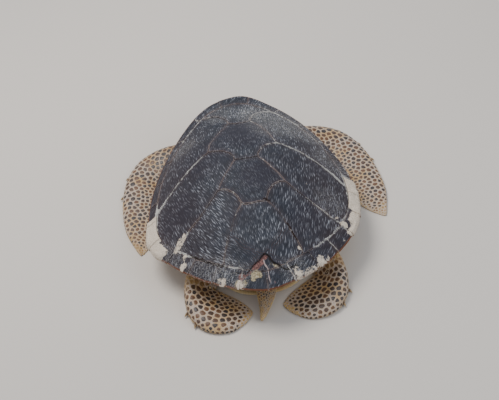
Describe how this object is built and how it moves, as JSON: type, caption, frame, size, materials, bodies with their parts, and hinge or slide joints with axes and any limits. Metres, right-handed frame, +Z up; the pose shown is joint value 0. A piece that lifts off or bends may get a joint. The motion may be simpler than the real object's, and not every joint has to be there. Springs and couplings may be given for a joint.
{
  "type": "hawksbill sea turtle",
  "caption": "Life-size still model of an adult hawksbill sea turtle resting on its belly, with a dark worn shell of overlapping scutes and folded flippers.",
  "frame": {"origin": "on the floor plane, at the middle of the shell's length and width, on the flat underside of the plastron", "axes": "+Y towards the head along the midline, +X to the turtle's right, +Z up"},
  "size_m": [0.8906, 1.0184, 0.2749],
  "materials": {
    "carapace_horn": "worn satin horn, dark slate brown, fine scratches and sand in the seams",
    "shell_edge": "worn satin horn, rust-brown at the edge, pale dried sand",
    "plastron_horn": "smooth pale yellow horn",
    "scaly_skin": "dark brown scales with orange-yellow margins, matt",
    "beak": "streaked amber horn, satin",
    "claw": "amber brown horn, satin",
    "eye": "wet gloss, dark brown iris"
  },
  "bodies": {
    "root": {"claw_front_left_1": "claw", "claw_front_left_2": "claw", "claw_front_right_1": "claw", "claw_front_right_2": "claw", "claw_hind_left_1": "claw", "claw_hind_left_2": "claw", "claw_hind_right_1": "claw", "claw_hind_right_2": "claw", "costal_1_left": "carapace_horn", "costal_1_right": "carapace_horn", "costal_2_left": "carapace_horn", "costal_2_right": "carapace_horn", "costal_3_left": "carapace_horn", "costal_3_right": "carapace_horn", "costal_4_left": "carapace_horn", "costal_4_right": "carapace_horn", "eye_left": "eye", "eye_right": "eye", "front_flipper_left": "scaly_skin", "front_flipper_right": "scaly_skin", "head": "scaly_skin", "hind_flipper_left": "scaly_skin", "hind_flipper_right": "scaly_skin", "lower_beak": "beak", "marginal_10_left": "shell_edge", "marginal_10_right": "shell_edge", "marginal_11_left": "shell_edge", "marginal_11_right": "shell_edge", "marginal_1_left": "shell_edge", "marginal_1_right": "shell_edge", "marginal_2_left": "shell_edge", "marginal_2_right": "shell_edge", "marginal_3_left": "shell_edge", "marginal_3_right": "shell_edge", "marginal_4_left": "shell_edge", "marginal_4_right": "shell_edge", "marginal_5_left": "shell_edge", "marginal_5_right": "shell_edge", "marginal_6_left": "shell_edge", "marginal_6_right": "shell_edge", "marginal_7_left": "shell_edge", "marginal_7_right": "shell_edge", "marginal_8_left": "shell_edge", "marginal_8_right": "shell_edge", "marginal_9_left": "shell_edge", "marginal_9_right": "shell_edge", "neck": "scaly_skin", "nuchal": "shell_edge", "plastron": "plastron_horn", "supracaudal_left": "shell_edge", "supracaudal_right": "shell_edge", "tail": "scaly_skin", "trunk": "scaly_skin", "upper_beak": "beak", "vertebral_1": "carapace_horn", "vertebral_2": "carapace_horn", "vertebral_3": "carapace_horn", "vertebral_4": "carapace_horn", "vertebral_5": "carapace_horn"}
  },
  "joints": []
}
